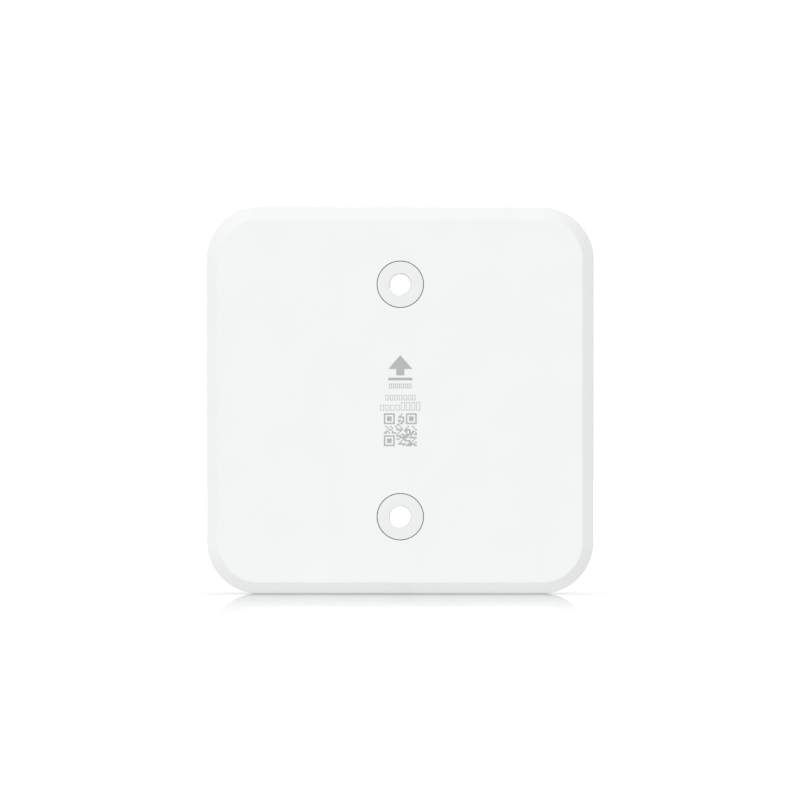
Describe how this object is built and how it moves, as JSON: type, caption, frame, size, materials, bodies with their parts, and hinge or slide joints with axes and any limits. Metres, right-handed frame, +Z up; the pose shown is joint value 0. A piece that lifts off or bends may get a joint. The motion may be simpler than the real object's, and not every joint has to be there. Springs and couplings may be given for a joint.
{
  "type": "magnetic access point mounting plate",
  "caption": "Thin square white wall and ceiling mounting plate with round corners, a bevelled wall side, flush screw bushings and magnets behind a grip pad.",
  "frame": {"origin": "centre of the flat wall side, midway between the two wall screws", "axes": "+X to the right and +Z up as the wall side is seen, +Y from the wall out towards the device"},
  "size_m": [0.1, 0.0075, 0.1],
  "materials": {
    "shell_plastic": "satin",
    "bushing_plastic": "satin",
    "cover_plastic": "satin",
    "yoke_steel": "satin",
    "magnet_nickel": "polished",
    "adhesive_film": "satin",
    "pad_silicone": "matte",
    "screw_steel": "satin"
  },
  "bodies": {
    "root": {"rear_shell": "shell_plastic", "upper_screw_bushing": "bushing_plastic", "lower_screw_bushing": "bushing_plastic", "yoke_plate": "yoke_steel", "magnet_1": "magnet_nickel", "magnet_2": "magnet_nickel", "magnet_3": "magnet_nickel", "magnet_4": "magnet_nickel", "magnet_5": "magnet_nickel", "magnet_6": "magnet_nickel", "magnet_7": "magnet_nickel", "magnet_8": "magnet_nickel", "front_cover": "cover_plastic", "pad_adhesive": "adhesive_film", "grip_pad": "pad_silicone", "cover_screw_1": "screw_steel", "cover_screw_2": "screw_steel", "cover_screw_3": "screw_steel", "cover_screw_4": "screw_steel", "cover_screw_5": "screw_steel", "cover_screw_6": "screw_steel"}
  },
  "joints": []
}
